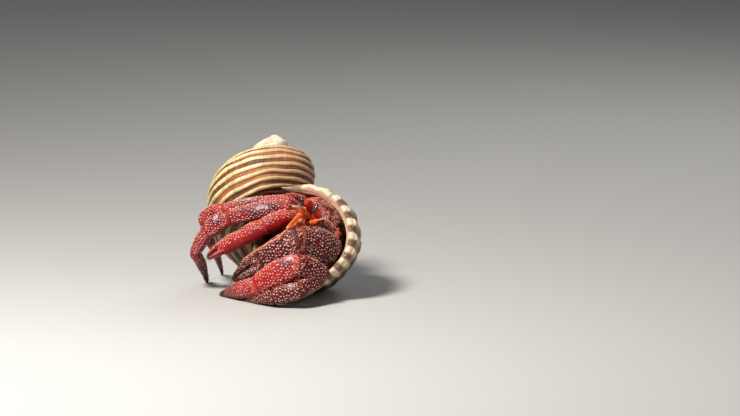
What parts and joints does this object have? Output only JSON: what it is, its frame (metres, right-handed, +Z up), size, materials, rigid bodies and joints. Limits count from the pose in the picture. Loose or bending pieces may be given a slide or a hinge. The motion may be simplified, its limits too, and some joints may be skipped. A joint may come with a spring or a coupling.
{
  "type": "hermit crab",
  "caption": "Still museum-style model of a red land hermit crab walking in a ribbed turban snail shell, resting on its legs and shell.",
  "frame": {"origin": "middle of the bounding box at floor level", "axes": "+Z up; the crab walks towards -Y and -X, with its shell's mouth facing -Y and the spire over its back; +X is its left"},
  "size_m": [0.0626, 0.0692, 0.0549],
  "materials": {
    "shell": "worn snail shell, cream spiral ribs over brown, thick cream lip",
    "claw": "dark red horny plates with pale tubercles",
    "leg": "red horny plates with rows of pale tubercles",
    "shield": "granular red shield",
    "soft_body": "leathery orange-red skin between the plates",
    "mouthparts": "orange jointed mouthparts",
    "stalk": "orange-red eyestalks",
    "feeler": "orange feelers, pale towards the tips",
    "eye": "glossy black corneas"
  },
  "bodies": {
    "root": {"shell": "shell", "cheliped_left_ischium": "claw", "cheliped_left_merus": "claw", "cheliped_left_carpus": "claw", "cheliped_left_propodus": "claw", "cheliped_left_dactyl": "claw", "cheliped_right_ischium": "claw", "cheliped_right_merus": "claw", "cheliped_right_carpus": "claw", "cheliped_right_propodus": "claw", "cheliped_right_dactyl": "claw", "leg2_right_ischium": "leg", "leg2_right_merus": "leg", "leg2_right_carpus": "leg", "leg2_right_propodus": "leg", "leg2_right_dactyl": "leg", "leg3_right_ischium": "leg", "leg3_right_merus": "leg", "leg3_right_carpus": "leg", "leg3_right_propodus": "leg", "leg3_right_dactyl": "leg", "leg2_left_ischium": "leg", "leg2_left_merus": "leg", "leg2_left_carpus": "leg", "leg2_left_propodus": "leg", "leg2_left_dactyl": "leg", "leg3_left_ischium": "leg", "leg3_left_merus": "leg", "leg3_left_carpus": "leg", "leg3_left_propodus": "leg", "leg3_left_dactyl": "leg", "eye_left": "eye", "eyestalk_left": "stalk", "antennule_left": "feeler", "antenna_left": "feeler", "antenna_whip_left": "feeler", "leg4_left": "leg", "eye_right": "eye", "eyestalk_right": "stalk", "antennule_right": "feeler", "antenna_right": "feeler", "antenna_whip_right": "feeler", "leg4_right": "leg", "mouthparts": "mouthparts", "shield": "shield", "thorax": "soft_body"}
  },
  "joints": []
}
